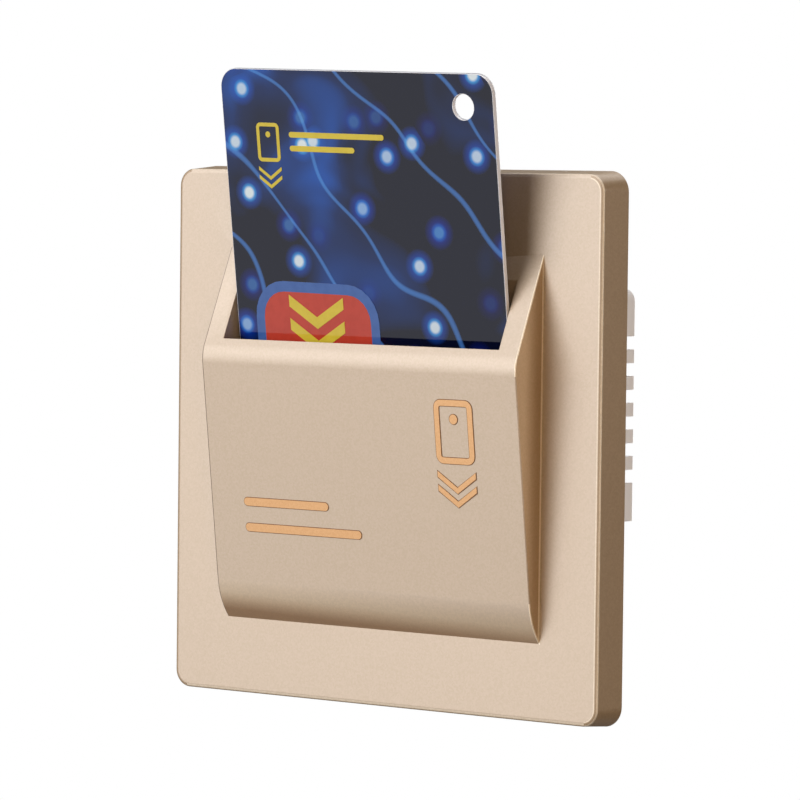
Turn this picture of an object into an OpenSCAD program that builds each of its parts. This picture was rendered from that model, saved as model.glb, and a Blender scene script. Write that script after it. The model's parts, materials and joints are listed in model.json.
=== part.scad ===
// Hotel key card switch: a clip-on cover plate with a card pocket, the key card, and the wall case
// that senses the card with a lever and a snap-action switch.
// Origin at the plate's centre on the wall. X to the right, Y into the wall, Z up. Millimetres.

/* [Cover plate] */
// Side of the square cover plate at the wall
plate_w = 86; // [84:0.5:100]
// Depth of the cover plate from the wall to its face
plate_t = 6; // [5.6:0.1:7]
// Corner radius of the cover plate
plate_r = 3.3; // [2.6:0.1:5]
// Distance by which the draft of the sides draws the face in
plate_draft = 0.5; // [0.3:0.1:0.8]
// Width of the flat bevel round the plate's face
plate_bevel = 0.6; // [0.4:0.1:0.8]
// Depth of that bevel
bevel_depth = 0.15; // [0.1:0.05:0.3]
// Thickness of the cover's sides
rim_t = 2; // [1.6:0.1:2.4]
// Thickness of the cover's face
skin_t = 2; // [1.6:0.1:2.4]

/* [Card pocket] */
// Height of the pocket's upper edge above the plate's centre
pocket_top = 30; // [28:0.5:32]
// Distance of the pocket's lower edge below the plate's centre
pocket_drop = 30.3; // [29:0.1:32]
// Distance by which the pocket's lip stands out of the plate
pocket_out = 7.35; // [7:0.05:9]
// Slope of the mouth's rim from the vertical, in degrees
rim_slope = 23.3; // [21:0.1:26]
// Slope of the pocket's front from the vertical, in degrees
face_slope = 7.1; // [6.5:0.1:7.6]
// Radius between the rim and the front
lip_r = 6; // [4:0.1:6.4]
// Radius of the chin
chin_r = 12.3; // [11:0.1:14]
// Thickness of the pocket's front wall
front_wall = 1.35; // [1.1:0.05:1.6]
// Width of the mouth's rim at each side
side_wall = 3.85; // [3:0.05:5]
// Depth of the slot, square to its walls
slot_d = 5.83; // [5.5:0.01:6.2]
// Thickness of the rim behind the mouth
rim_wall = 1.6; // [1.3:0.1:2]
// Thickness of the slot's back wall
back_wall = 0.9; // [0.8:0.05:1.1]
// Thickness of the slot's side walls behind the plate's face
chute_wall = 1.2; // [1:0.1:1.6]
// Thickness of the slot's floor
floor_t = 1; // [0.8:0.1:1.2]
// Height of the slot's floor above the pocket's lower edge
floor_rise = 3.2; // [3:0.1:4]
// Thickness of each card guide rib
rib_w = 1.6; // [1:0.1:2.4]
// Distance between the guide ribs
rib_pitch = 28; // [22:1:36]
// Height of the back ribs' foot above the slot's floor
rib_foot = 6; // [5:0.5:8]
// Distance of the ribs' lead-in below the mouth
rib_lead = 7; // [6:0.5:9]
// Distance of the ribs' upper end below the mouth
rib_down = 3.5; // [3:0.5:5]
// Width of each snap hook
hook_w = 8; // [6:0.5:12]
// Distance between the snap hooks of one side
hook_pitch = 44; // [36:1:52]
// Length by which each snap hook reaches in from the cover's side
hook_in = 0.9; // [0.7:0.05:1.1]
// Radius of the seats that hold the cover off the flange
seat_r = 2; // [1.5:0.1:2.5]
// Distance of the seats from the plate's sides
seat_in = 6; // [5.5:0.1:8]
// Width of the notch for a screwdriver in the lower side
pry_w = 8; // [6:0.5:12]

/* [Key card] */
// Width of the card
card_w = 54; // [52:0.5:56]
// Length of the card
card_h = 85.6; // [80:0.1:95]
// Thickness of the card
card_t = 0.8; // [0.7:0.05:0.9]
// Corner radius of the card
card_r = 3.18; // [2.5:0.01:4]
// Diameter of the punched hole
card_hole_d = 4; // [3:0.5:5]
// Distance of the hole's centre from the card's right edge
card_hole_side = 5.8; // [4.5:0.1:8]
// Distance of the hole's centre from the card's upper edge
card_hole_down = 5.2; // [4.5:0.1:8]
// Lean of the card towards the front, in degrees
card_lean = 9; // [8.6:0.1:9.4]
// Turn of the card in its slot, in degrees
card_roll = 1.2; // [0.8:0.1:1.4]
// Distance of the card's front behind the lip's inner edge
card_set = 3; // [2.8:0.1:3.2]

/* [Rear housing] */
// Thickness of the mounting flange
flange_t = 2.2; // [2:0.1:2.6]
// Corner radius of the flange
flange_r = 2; // [1.5:0.1:4]
// Height of the case's upper side above the plate's centre
case_top = 24; // [22:0.5:27]
// Corner radius of the case
case_r = 2; // [1.9:0.1:3]
// Wall thickness of the case
case_wall = 1.8; // [1.5:0.1:2.2]
// Distance between the two wall screws
screw_pitch = 60.3; // [59:0.1:64]
// Diameter of the wall screw holes
screw_hole_d = 4.5; // [4:0.1:5]
// Diameter of the countersinks at the flange's front
screw_sink_d = 8.2; // [7:0.1:8.6]
// Number of vent slots on each side
vent_n = 6; // [4:1:7]
// Width of each vent slot
vent_w = 2.1; // [1.5:0.1:2.6]
// Distance from one vent slot to the next
vent_pitch = 4.3; // [3.8:0.1:4.6]
// Height of the vent row's middle above the plate's centre
vent_z = 4.6; // [3.5:0.1:5.5]
// Length of each vent slot along the case's side
vent_side = 8; // [5:0.5:10]
// Length of each vent slot round the corner on the case's rear
vent_rear = 4.5; // [3:0.5:5]
// Radius of the posts that take the lid's screws
post_r = 3; // [2.6:0.1:3.4]
// Radius of the bosses that carry the board
boss_r = 2.6; // [2.2:0.1:2.8]
// Depth of the ledge behind each snap hook, from the flange's edge
ledge_in = 1.6; // [1.3:0.1:2.2]

/* [Lid and screws] */
// Thickness of the lid
lid_t = 1.4; // [1.2:0.1:1.8]
// Shank radius of the lid and board screws
shank_r = 1.2; // [1:0.05:1.3]
// Head radius of the lid and board screws
head_r = 2.2; // [1.9:0.1:2.4]
// Head height of the board screws
head_h = 1.5; // [1.2:0.1:1.8]
// Length of the screws below the head
screw_l = 7; // [6:0.5:9]

/* [Circuit board] */
// Thickness of the board
board_t = 1.6; // [1.2:0.1:2]
// Distance of the relay from the board's left edge
relay_in = 6; // [5.4:0.1:8]
// Distance of the relay from the board's upper edge
relay_down = 0.5; // [0.3:0.1:1.5]
// Relay's width
relay_w = 28.5; // [27:0.5:30]
// Relay's height above the board
relay_t = 12.7; // [12:0.1:15]
// Relay's length along the board's height
relay_h = 15.7; // [14:0.1:17]
// Distance of the film capacitor from the board's right edge
film_in = 3.2; // [3:0.1:5]
// Distance of the film capacitor's lower end below the relay's
film_drop = 2.2; // [1.5:0.1:3]
// Film capacitor's width
film_w = 6; // [5:0.5:7]
// Film capacitor's length along the board's height
film_h = 13; // [11:0.5:14]
// Film capacitor's height above the board
film_t = 12; // [10:0.5:14]
// Distance of the smoothing capacitor from the relay's left side
can_in = 1; // [0.5:0.1:2]
// Smoothing capacitor's diameter
can_d = 8; // [6.3:0.1:9]
// Smoothing capacitor's height above the board
can_h = 11.5; // [9:0.5:14]
// Varistor's diameter
disc_d = 10; // [9:0.5:11]
// Varistor's thickness
disc_t = 4; // [3:0.1:4.5]
// Distance of the varistor's disc from the board
disc_lift = 1; // [0.5:0.1:1.5]
// Fuse's diameter
fuse_d = 3.6; // [3:0.1:4]
// Fuse's length
fuse_l = 8; // [7:0.1:8.4]
// Number of diodes
diode_n = 4; // [2:1:4]
// Diode's diameter
diode_d = 2.7; // [2.2:0.1:2.8]
// Diode's length
diode_l = 4; // [3.6:0.1:4.2]
// Number of resistors
resistor_n = 2; // [1:1:2]
// Resistor's diameter
resistor_d = 2.4; // [2:0.1:2.6]
// Resistor's length
resistor_l = 6.3; // [5:0.1:7]
// Distance between the relay and the row of parts below it
row_gap = 4.7; // [4:0.1:6]
// Distance between that row and the case's step
row_margin = 2.1; // [1.8:0.1:3]
// Distance of the board's screws below the relay
boss_down = 6.2; // [5.8:0.1:7]
// Gap between one diode and the next
diode_gap = 0.5; // [0.3:0.1:0.6]
// Gap between one resistor and the next
resistor_gap = 1.4; // [1:0.1:2]
// Length of a lying part's leads at each end
lead_run = 1.2; // [1:0.1:1.4]
// Distance of a lying part from the board
lead_lift = 0.3; // [0.2:0.1:0.5]
// Radius of the parts' leads
lead_r = 0.4; // [0.3:0.05:0.5]
// Controller chip's body length
chip_l = 5; // [4:0.1:6]
// Controller chip's body width
chip_w = 3.9; // [3:0.1:5]
// Controller chip's body thickness
chip_t = 1.5; // [1.2:0.1:1.8]

/* [Card sensing] */
// Length of the snap-action switch
switch_l = 12.8; // [12:0.1:14]
// Thickness of the snap-action switch
switch_w = 5.8; // [5.4:0.1:6.4]
// Height of the snap-action switch
switch_h = 6.5; // [6:0.1:7.5]
// Length of the plunger's end across the lever
plunger_l = 2; // [1.6:0.1:2.6]
// Thickness of the plunger
plunger_w = 1.6; // [1.2:0.1:2]
// Length by which the pressed plunger stands out of the switch
plunger_out = 0.5; // [0.4:0.05:0.7]
// Length of the plunger inside the switch
plunger_in = 3.5; // [3:0.1:4]
// Width of the lever
lever_w = 5.9; // [5:0.1:6.5]
// Radius of the lever's hub
hub_r = 1.9; // [1.8:0.1:2.1]
// Radius of the lever's nose
nose_r = 0.9; // [0.8:0.05:1]
// Radius of the lever's tail
tail_r = 0.8; // [0.7:0.05:1]
// Radius of the lever's pin
pin_r = 1; // [0.8:0.05:1.1]
// Thickness of each ear that holds the pin
ear_t = 2.2; // [1.8:0.1:3]
// Distance of the lever's pin behind the lid
ear_reach = 1.8; // [1.7:0.1:2.2]
// Wall of each ear round the lever's pin
ear_wall = 1; // [0.9:0.05:1.2]
// Distance between the lid and the snap-action switch
switch_front = 2.6; // [2.2:0.1:3.2]
// Height of the lever's pin above the slot's floor
pivot_rise = 1.1; // [0.9:0.1:1.4]
// Height of the switch's lower side above the lever's pin
switch_rise = 4; // [3.8:0.1:4.6]

/* [Terminals] */
// Number of terminals
pole_n = 4; // [3:1:4]
// Distance from one terminal to the next
pole_pitch = 10; // [9.4:0.1:10.4]
// Depth of the terminal block
block_d = 11.5; // [11:0.1:13]
// Height of the terminal block
block_h = 14.3; // [13.5:0.1:16]
// Width of the terminal block past the pitch of its end terminals
block_end = 0.5; // [0.4:0.1:1]
// Wall between a terminal and the next
block_wall = 2.6; // [2.2:0.1:3]
// Depth of each clamp cage
cage_d = 8; // [7.4:0.1:8.4]
// Height of each clamp cage
cage_h = 8.8; // [8:0.1:9.4]
// Width of the wire opening in a cage
wire_w = 5.2; // [4.6:0.1:5.6]
// Depth of the wire opening in a cage
wire_d = 3.6; // [3:0.1:3.8]
// Width of each cage's solder tag
tag_w = 1.4; // [1:0.1:1.8]
// Thickness of each cage's solder tag
tag_t = 0.8; // [0.6:0.1:1]
// Radius of the clamping screws
clamp_r = 1.5; // [1.2:0.05:1.6]
// Head radius of the clamping screws
clamp_head_r = 2.5; // [2.1:0.1:2.7]
// Head height of the clamping screws
clamp_head_h = 2; // [1.5:0.1:2.4]

/* [Clearances] */
// Gap between the card's edges and the slot's sides
card_side_gap = 0.12; // [0.1:0.01:0.3]
// Gap between the card's lowest point and the slot's floor
card_seat_gap = 0.2; // [0.15:0.05:0.4]
// Gap between the card's faces and the guide ribs
rib_gap = 0.25; // [0.2:0.05:0.3]
// Gap between the card's lower edge and the lever's nose
nose_gap = 0.15; // [0.1:0.05:0.25]
// Gap between the lever's tail and the plunger
tail_gap = 0.1; // [0.05:0.05:0.2]
// Gap between the lever and the ears or windows beside it
lever_gap = 0.25; // [0.2:0.05:0.4]
// Running clearance of the lever on its pin
pin_gap = 0.04; // [0.02:0.01:0.08]
// Gap round the plunger
plunger_gap = 0.1; // [0.06:0.01:0.15]
// Gap between the flange's edge and the cover's sides
flange_gap = 0.3; // [0.2:0.05:0.5]
// Gap between the slot's walls and the flange's window
chute_gap = 0.5; // [0.4:0.05:0.6]
// Gap between the slot's back wall and the lid
lid_front_gap = 0.3; // [0.2:0.05:0.5]
// Gap between the lid's edge and the case
lid_edge_gap = 0.2; // [0.15:0.05:0.3]
// Gap between the board's edge and the case
board_gap = 0.8; // [0.6:0.1:1]
// Gap between neighbouring parts on the board
part_gap = 1.1; // [0.9:0.1:1.4]
// Gap between the tallest part on the board and the case's rear
tall_gap = 1.7; // [1.2:0.1:2.4]
// Gap behind the board for its soldered pins
solder_gap = 1.6; // [1.4:0.1:2]
// Gap round a screw in its hole
screw_gap = 0.05; // [0.03:0.01:0.1]
// Gap between a terminal cage and its chamber
cage_gap = 0.1; // [0.05:0.05:0.2]
// Gap between the terminal block and the case above it
block_gap = 0.8; // [0.5:0.1:1.2]
// Gap between the hook and the flange's ledge
hook_gap = 0.1; // [0.05:0.05:0.2]
// Gap beside each hook in the flange's ledge
ledge_gap = 0.5; // [0.3:0.1:0.8]
// Gap round a solder tag in the case
tag_gap = 0.5; // [0.3:0.1:0.7]
// Gap between the board's notches and the lid's posts
notch_gap = 0.4; // [0.3:0.1:0.6]
// Room in front of the lever's nose for its rise
nose_room = 0.6; // [0.5:0.1:0.8]
// Room beside the lever in its windows
window_gap = 0.65; // [0.4:0.05:0.8]

/* [Hidden] */
$fn = 64;
// Length by which a cutter runs past the face it opens, and a rib runs into its wall
past = 1;
bite = 0.2;
// Smallest radius of an inner corner
least_r = 0.2;

// Pocket: F counts forward from the plate's face, so Y = -plate_t - F
function out_y(f) = -plate_t - f;
corner_z = pocket_top - pocket_out / tan(rim_slope);
function rim_f(z) = (pocket_top - z) * tan(rim_slope);
function face_f(z) = pocket_out + (z - corner_z) * tan(face_slope);
function inner_f(z) = face_f(z) - front_wall / cos(face_slope);
function back_f(z) = inner_f(z) - slot_d / cos(face_slope);
function rear_f(z) = back_f(z) - back_wall / cos(face_slope);
// Height at which the slot's rear wall lies the given distance forward
function rear_z(f) = (f - rear_f(0)) / tan(face_slope);
slopes = tan(rim_slope) + tan(face_slope);
mouth_z = (rim_f(0) - inner_f(0)) / slopes;
floor_z = floor_rise - pocket_drop;
floor_under = floor_z - floor_t;

// Chin: an arc through the pocket's lower edge, tangent to the front
face_dir = [-sin(face_slope), -cos(face_slope)];
face_normal = [cos(face_slope), -sin(face_slope)];
chin_q = [pocket_out, corner_z] - chin_r * face_normal - [0, -pocket_drop];
chin_qd = chin_q * face_dir;
chin_s = -chin_qd - sqrt(chin_qd * chin_qd - chin_q * chin_q + chin_r * chin_r);
chin_start = [pocket_out, corner_z] + chin_s * face_dir;
chin_c = chin_start - chin_r * face_normal;

// Lip: a fillet between the rim and the front
lip_half = (rim_slope + face_slope) / 2;
lip_run = lip_r * tan(lip_half);
rim_dir = [-sin(rim_slope), cos(rim_slope)];
lip_up = [pocket_out, corner_z] + lip_run * rim_dir;
lip_down = [pocket_out, corner_z] + lip_run * face_dir;
lip_c = lip_down - lip_r * face_normal;

// Card: its front face passes card_set behind the lip's inner edge
function card_f(z) = inner_f(mouth_z) - card_set + (z - mouth_z) * tan(card_lean);
function card_back_f(z) = card_f(z) - card_t / cos(card_lean);
card_corner_drop = (card_w / 2 - card_r) * sin(card_roll) * cos(card_lean);
card_z = floor_z + card_seat_gap + card_corner_drop;
card_rim_z = (rim_f(0) - card_back_f(0)) / (tan(rim_slope) + tan(card_lean));
card_shift = tan(card_roll) / cos(card_lean);
card_side_z = card_z + card_r;
card_sway = (card_rim_z - card_side_z) / 2 * card_shift;
card_x = (card_z - (card_rim_z + card_side_z) / 2) * card_shift;
slot_w = 2 * (card_w / 2 / cos(card_roll) + card_sway + card_side_gap);
pocket_w = slot_w + 2 * side_wall;
chute_w = slot_w + 2 * chute_wall;

// Lid, lever and switch, from the slot backwards
lid_y = out_y(rear_f(floor_under)) + lid_front_gap;
lid_back = lid_y + lid_t;
pivot_y = lid_back + ear_reach;
pivot_z = floor_z + pivot_rise;
ear_r = pin_r + ear_wall;
ear_x = lever_w / 2 + lever_gap;
board_y = lid_back + switch_front + switch_w;
board_back = board_y + board_t;
plunger_y = board_y - switch_w / 2;
switch_z = pivot_z + switch_rise;
nose_y = out_y(card_f(card_z)) + card_t / 2 * cos(card_lean);
nose_z = card_z - nose_gap - lever_w / 2 * sin(card_roll) - nose_r;
tail_z = switch_z - plunger_out - tail_gap - tail_r;
window_top = pivot_z + hub_r;
window_w = lever_w + 2 * window_gap;

// Board and case, from the parts that they hold
board_w = relay_in + relay_w + part_gap + film_w + film_in;
case_w = board_w + 2 * (board_gap + case_wall);
inner_w = case_w - 2 * case_wall;
inner_top = case_top - case_wall;
inner_bottom = pivot_z - ear_r - lid_edge_gap;
case_bottom = inner_bottom - case_wall;
board_top = inner_top - board_gap;
board_bottom = inner_bottom + board_gap;
relay_top = board_top - relay_down;
relay_bottom = relay_top - relay_h;
relay_x = relay_in - board_w / 2;
film_x = relay_x + relay_w + part_gap;
boss_z = relay_bottom - boss_down;
row_top = relay_bottom - row_gap;
row_z = row_top - disc_d / 2;
step_inner = row_top - disc_d - row_margin;
step_z = step_inner - case_wall;
row_low = row_top - disc_d;
part_top = max(relay_t, film_t, can_h, disc_d + disc_lift);
case_d = board_back + part_top + tall_gap + case_wall;
step_d = board_back + solder_gap + case_wall;
boss_x = board_w / 2 - boss_r;
post_x = inner_w / 2 - post_r;
post_zs = [inner_top - post_r, inner_bottom + post_r];
notch = 2 * post_r - board_gap + notch_gap;
pilot_r = shank_r + screw_gap;

// Row of parts below the relay, from left to right
can_x = relay_x + can_in + can_d / 2;
disc_x = can_x + can_d / 2 + 2 * part_gap;
fuse_x = disc_x + disc_t + part_gap + fuse_d / 2;
diode_x = fuse_x + fuse_d / 2 + part_gap + diode_d / 2;
diode_pitch = diode_d + diode_gap;
resistor_pitch = resistor_d + resistor_gap;

// Flange
flange_w = plate_w - 2 * (rim_t + flange_gap);
window_z = rear_z(flange_t + chute_gap - plate_t);
window_half = chute_w / 2 + chute_gap;
window_bottom = floor_under - chute_gap;
ledge_t = flange_t / 2;

// Terminals
block_w = pole_n * pole_pitch + 2 * block_end;
block_top = step_z - block_gap;
pole_z = block_top - block_h / 2;
cage_w = pole_pitch - block_wall - 2 * cage_gap;
cage_back = step_d + cage_gap + cage_d;
pole_xs = [for (i = [0 : pole_n - 1]) (i - (pole_n - 1) / 2) * pole_pitch];

// Colours
champagne = [0.80, 0.70, 0.57];
navy = [0.07, 0.12, 0.32];
case_white = [0.93, 0.92, 0.95];
steel = [0.75, 0.76, 0.78];
brass = [0.80, 0.64, 0.30];
board_green = [0.10, 0.36, 0.20];
dark = [0.10, 0.10, 0.11];

// A profile in Y and Z, drawn out along X
module along_x(x0, x1) {
    translate([x0, 0, 0]) rotate([90, 0, 90]) linear_extrude(x1 - x0) children();
}

// A profile in X and Z, drawn out along Y
module along_y(y0, y1) {
    translate([0, y1, 0]) rotate([90, 0, 0]) linear_extrude(y1 - y0) children();
}

module block(low, high) {
    translate(low) cube(high - low);
}

// A cone along Y
module cone_y(x, z, y0, y1, r0, r1) {
    translate([x, y0, z]) rotate([-90, 0, 0]) cylinder(h = y1 - y0, r1 = r0, r2 = r1);
}

// A rod along Y
module rod_y(x, z, y0, y1, r) {
    cone_y(x, z, y0, y1, r, r);
}

// A rod along X
module rod_x(x0, x1, y, z, r) {
    translate([x0, y, z]) rotate([0, 90, 0]) cylinder(h = x1 - x0, r = r);
}

// A rod along Z
module rod_z(x, y, z0, z1, r) {
    translate([x, y, z0]) cylinder(h = z1 - z0, r = r);
}

// A rectangle with round corners, from its low to its high corner
module round_rect(low, high, r) {
    translate([low.x + r, low.y]) square([high.x - low.x - 2 * r, high.y - low.y]);
    translate([low.x, low.y + r]) square([high.x - low.x, high.y - low.y - 2 * r]);
    for (x = [low.x + r, high.x - r], y = [low.y + r, high.y - r]) translate([x, y]) circle(r);
}

// The straight sides of an arm from a hub of radius rp at p to a round end of radius rq at q
module arm(p, q, rp, rq) {
    d = norm(q - p);
    u = (q - p) / d;
    n = [-u.y, u.x];
    s = (rp - rq) / d;
    c = sqrt(1 - s * s);
    up = s * u + c * n;
    down = s * u - c * n;
    polygon([p, p + rp * up, q + rq * up, q, q + rq * down, p + rp * down]);
}

// The plate's solid: drafted sides, a bevel round the face and conical corners
module plate_solid() {
    c = plate_w / 2 - plate_r;
    side = [[0, 0], [plate_draft, bevel_depth - plate_t], [plate_draft + plate_bevel, -plate_t]];
    right = [for (p = side) [plate_w / 2 - p.x, p.y]];
    left = [for (i = [2 : -1 : 0]) [side[i].x - plate_w / 2, side[i].y]];
    translate([0, 0, -c]) linear_extrude(2 * c) polygon(concat(right, left));
    along_x(-c, c) polygon([for (p = concat(right, left)) [p.y, p.x]]);
    corner = concat([for (p = side) [plate_r - p.x, -p.y]], [[0, plate_t], [0, 0]]);
    for (x = [-c, c], z = [-c, c]) translate([x, 0, z]) rotate([90, 0, 0]) rotate_extrude() polygon(corner);
}

// The pocket's outline in Y and Z, rooted in the plate's face
module pocket_profile() {
    root = -skin_t;
    outline = [
        [root, pocket_top], [0, pocket_top], lip_up, lip_down, chin_start, [0, chin_start.y],
        [0, -pocket_drop], [root, -pocket_drop]
    ];
    polygon([for (p = outline) [out_y(p.x), p.y]]);
    intersection() {
        union() {
            translate([out_y(lip_c.x), lip_c.y]) circle(lip_r, $fn = 128);
            translate([out_y(chin_c.x), chin_c.y]) circle(chin_r, $fn = 128);
        }
        translate([out_y(2 * pocket_out), -2 * pocket_drop]) square([2 * pocket_out, 4 * pocket_drop]);
    }
}

// The slot that takes the card, open through the rim
module slot_profile() {
    above = pocket_top + 2 * past;
    polygon([
        [out_y(inner_f(floor_z)), floor_z], [out_y(inner_f(above)), above],
        [out_y(back_f(above)), above], [out_y(back_f(floor_z)), floor_z]
    ]);
}

// The walls and floor of the slot behind the plate's face
module chute_profile() {
    f = -skin_t / 2;
    polygon([
        [out_y(f), rear_z(f)], [out_y(rear_f(floor_under)), floor_under], [out_y(f), floor_under]
    ]);
}

// The hollow behind the slot's back wall, under the rim
module core_profile() {
    f = -skin_t - past;
    rim_inner = rim_f(0) - rim_wall / cos(rim_slope);
    peak_z = (rim_inner - rear_f(0)) / slopes;
    polygon([
        [out_y(f), rear_z(f)], [out_y(rear_f(peak_z)), peak_z],
        [out_y(f), (rim_inner - f) / tan(rim_slope)]
    ]);
}

// A guide rib on the slot's front wall and one on its back wall
module rib_profiles() {
    low = floor_z - bite;
    foot = floor_z + rib_foot;
    lead = mouth_z - rib_lead;
    top = mouth_z - rib_down;
    polygon([
        [out_y(inner_f(low) + bite), low], [out_y(card_f(low) + rib_gap), low],
        [out_y(card_f(lead) + rib_gap), lead], [out_y(inner_f(top) + bite), top]
    ]);
    polygon([
        [out_y(back_f(low) - bite), low], [out_y(card_back_f(foot) - rib_gap), foot],
        [out_y(card_back_f(lead) - rib_gap), lead], [out_y(back_f(top) - bite), top]
    ]);
}

// A snap hook on the upper side of the cover
module hook() {
    wall_z = plate_w / 2 - rim_t;
    front = hook_gap - ledge_t;
    tip_z = wall_z - hook_in;
    polygon([
        [front, wall_z + bite], [front, tip_z], [front / 2, tip_z], [front / 8, wall_z - bite],
        [front / 8, wall_z + bite]
    ]);
}

module front_cover() {
    cavity = plate_w / 2 - rim_t;
    cavity_r = max(plate_r - rim_t, least_r);
    seat = plate_w / 2 - seat_in;
    color(champagne) {
        difference() {
            union() {
                difference() {
                    plate_solid();
                    along_y(skin_t - plate_t, past)
                        round_rect([-cavity, -cavity], [cavity, cavity], cavity_r);
                }
                along_x(-pocket_w / 2, pocket_w / 2) pocket_profile();
                along_x(-chute_w / 2, chute_w / 2) chute_profile();
                for (x = [-seat, seat], z = [-seat, seat])
                    rod_y(x, z, skin_t / 2 - plate_t, -flange_t, seat_r);
            }
            along_x(-slot_w / 2, slot_w / 2) slot_profile();
            along_x(-slot_w / 2, slot_w / 2) core_profile();
            block([-window_w / 2, nose_y - nose_r - nose_room, floor_under - past],
                [window_w / 2, past, window_top]);
            block([-pry_w / 2, -ledge_t, -plate_w / 2 - past], [pry_w / 2, past, -cavity + past]);
        }
        for (x = [-rib_pitch / 2, rib_pitch / 2]) along_x(x - rib_w / 2, x + rib_w / 2) rib_profiles();
        for (x = [-hook_pitch / 2, hook_pitch / 2], side = [0, 1])
            mirror([0, 0, side]) along_x(x - hook_w / 2, x + hook_w / 2) hook();
    }
}

module key_card() {
    hole_x = card_w / 2 - card_hole_side;
    hole_z = card_h - card_hole_down;
    color(navy)
        translate([card_x, out_y(card_f(card_z)), card_z])
            rotate([card_lean, 0, 0]) rotate([0, card_roll, 0])
                difference() {
                    along_y(0, card_t) round_rect([-card_w / 2, 0], [card_w / 2, card_h], card_r);
                    rod_y(hole_x, hole_z, -past, card_t + past, card_hole_d / 2);
                }
}

// The case's outline, drawn in by a distance
module case_outline(inset) {
    round_rect([inset - case_w / 2, case_bottom + inset], [case_w / 2 - inset, case_top - inset],
        max(case_r - inset, least_r));
}

// The case's outline above the step
module deep_outline(inset) {
    intersection() {
        case_outline(inset);
        translate([-case_w, step_z + inset]) square([2 * case_w, case_top - step_z]);
    }
}

module case_shell() {
    half = flange_w / 2;
    difference() {
        union() {
            along_y(-flange_t, 0) round_rect([-half, -half], [half, half], flange_r);
            along_y(-flange_t, step_d) case_outline(0);
            along_y(-flange_t, case_d) deep_outline(0);
        }
        along_y(-flange_t - past, step_d - case_wall) case_outline(case_wall);
        along_y(-flange_t - past, case_d - case_wall) deep_outline(case_wall);
        block([-window_half, -flange_t - past, window_bottom], [window_half, max(0, lid_y), window_z]);
    }
}

module vents() {
    for (side = [-1, 1], i = [0 : vent_n - 1]) {
        z = vent_z + (i - (vent_n - 1) / 2) * vent_pitch;
        x0 = case_w / 2 - vent_rear;
        x1 = case_w / 2 + past;
        block([min(side * x0, side * x1), case_d - vent_side, z - vent_w / 2],
            [max(side * x0, side * x1), case_d + past, z + vent_w / 2]);
    }
}

module rear_housing() {
    half = flange_w / 2;
    post_back = [case_d - case_wall / 2, step_d - case_wall / 2];
    sink = (screw_sink_d - screw_hole_d) / 2;
    color(case_white)
        difference() {
            union() {
                case_shell();
                for (x = [-post_x, post_x], i = [0, 1])
                    rod_y(x, post_zs[i], lid_back, post_back[i], post_r);
                for (x = [-boss_x, boss_x]) rod_y(x, boss_z, board_back, post_back[0], boss_r);
            }
            vents();
            for (x = [-post_x, post_x], z = post_zs)
                rod_y(x, z, lid_back - past, lid_back + screw_l, pilot_r);
            for (x = [-boss_x, boss_x])
                rod_y(x, boss_z, board_back - past, board_back + screw_l, pilot_r);
            for (x = [-screw_pitch / 2, screw_pitch / 2]) {
                rod_y(x, 0, -flange_t - past, past, screw_hole_d / 2);
                cone_y(x, 0, -flange_t, sink - flange_t, screw_sink_d / 2, screw_hole_d / 2);
            }
            for (x = [-hook_pitch / 2, hook_pitch / 2], side = [0, 1])
                mirror([0, 0, side])
                    block([x - hook_w / 2 - ledge_gap, -ledge_t, half - ledge_in],
                        [x + hook_w / 2 + ledge_gap, past, half + past]);
            for (x = pole_xs)
                block([x - tag_w / 2 - tag_gap, board_back, pole_z - tag_t / 2 - tag_gap],
                    [x + tag_w / 2 + tag_gap, step_d + past, pole_z + tag_t / 2 + tag_gap]);
        }
}

module housing_lid() {
    sink = head_r - shank_r;
    low = [lid_edge_gap - inner_w / 2, inner_bottom + lid_edge_gap];
    high = [inner_w / 2 - lid_edge_gap, inner_top - lid_edge_gap];
    color(case_white)
        difference() {
            union() {
                along_y(lid_y, lid_back) round_rect(low, high, lid_edge_gap);
                for (x = [-ear_x - ear_t, ear_x])
                    along_x(x, x + ear_t) {
                        translate([pivot_y, pivot_z]) circle(ear_r);
                        translate([lid_back - bite, pivot_z - ear_r]) square([ear_reach + bite, 2 * ear_r]);
                    }
            }
            block([-window_w / 2, lid_y - past, inner_bottom - past], [window_w / 2, lid_back, window_top]);
            block([-ear_x, lid_back - past, inner_bottom - past], [ear_x, lid_back, window_top]);
            rod_x(-ear_x - ear_t - past, ear_x + ear_t + past, pivot_y, pivot_z, pin_r);
            for (x = [-post_x, post_x], z = post_zs) {
                rod_y(x, z, lid_y - past, lid_back + past, pilot_r);
                cone_y(x, z, lid_y, lid_y + sink, head_r + screw_gap, pilot_r);
            }
        }
}

// A screw along Y with a conical head at its front
module sunk_screw(x, z, y, l) {
    sink = head_r - shank_r;
    translate([x, y, z])
        rotate([-90, 0, 0])
            rotate_extrude() polygon([[0, 0], [head_r, 0], [shank_r, sink], [shank_r, l], [0, l]]);
}

module lid_screws() {
    color(steel)
        for (x = [-post_x, post_x], z = post_zs) sunk_screw(x, z, lid_y, lid_t + screw_l - past);
}

module circuit_board() {
    half = board_w / 2;
    color(board_green)
        along_y(board_y, board_back)
            difference() {
                translate([-half, board_bottom]) square([board_w, board_top - board_bottom]);
                for (x = [-half - past, half - notch], z = [board_bottom - past, board_top - notch])
                    translate([x, z]) square(notch + past);
                for (x = [-boss_x, boss_x]) translate([x, boss_z]) circle(pilot_r);
            }
}

module board_screws() {
    color(steel)
        for (x = [-boss_x, boss_x]) {
            rod_y(x, boss_z, board_y - head_h, board_y, head_r);
            rod_y(x, boss_z, board_y, board_back + screw_l - past, shank_r);
        }
}

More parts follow.
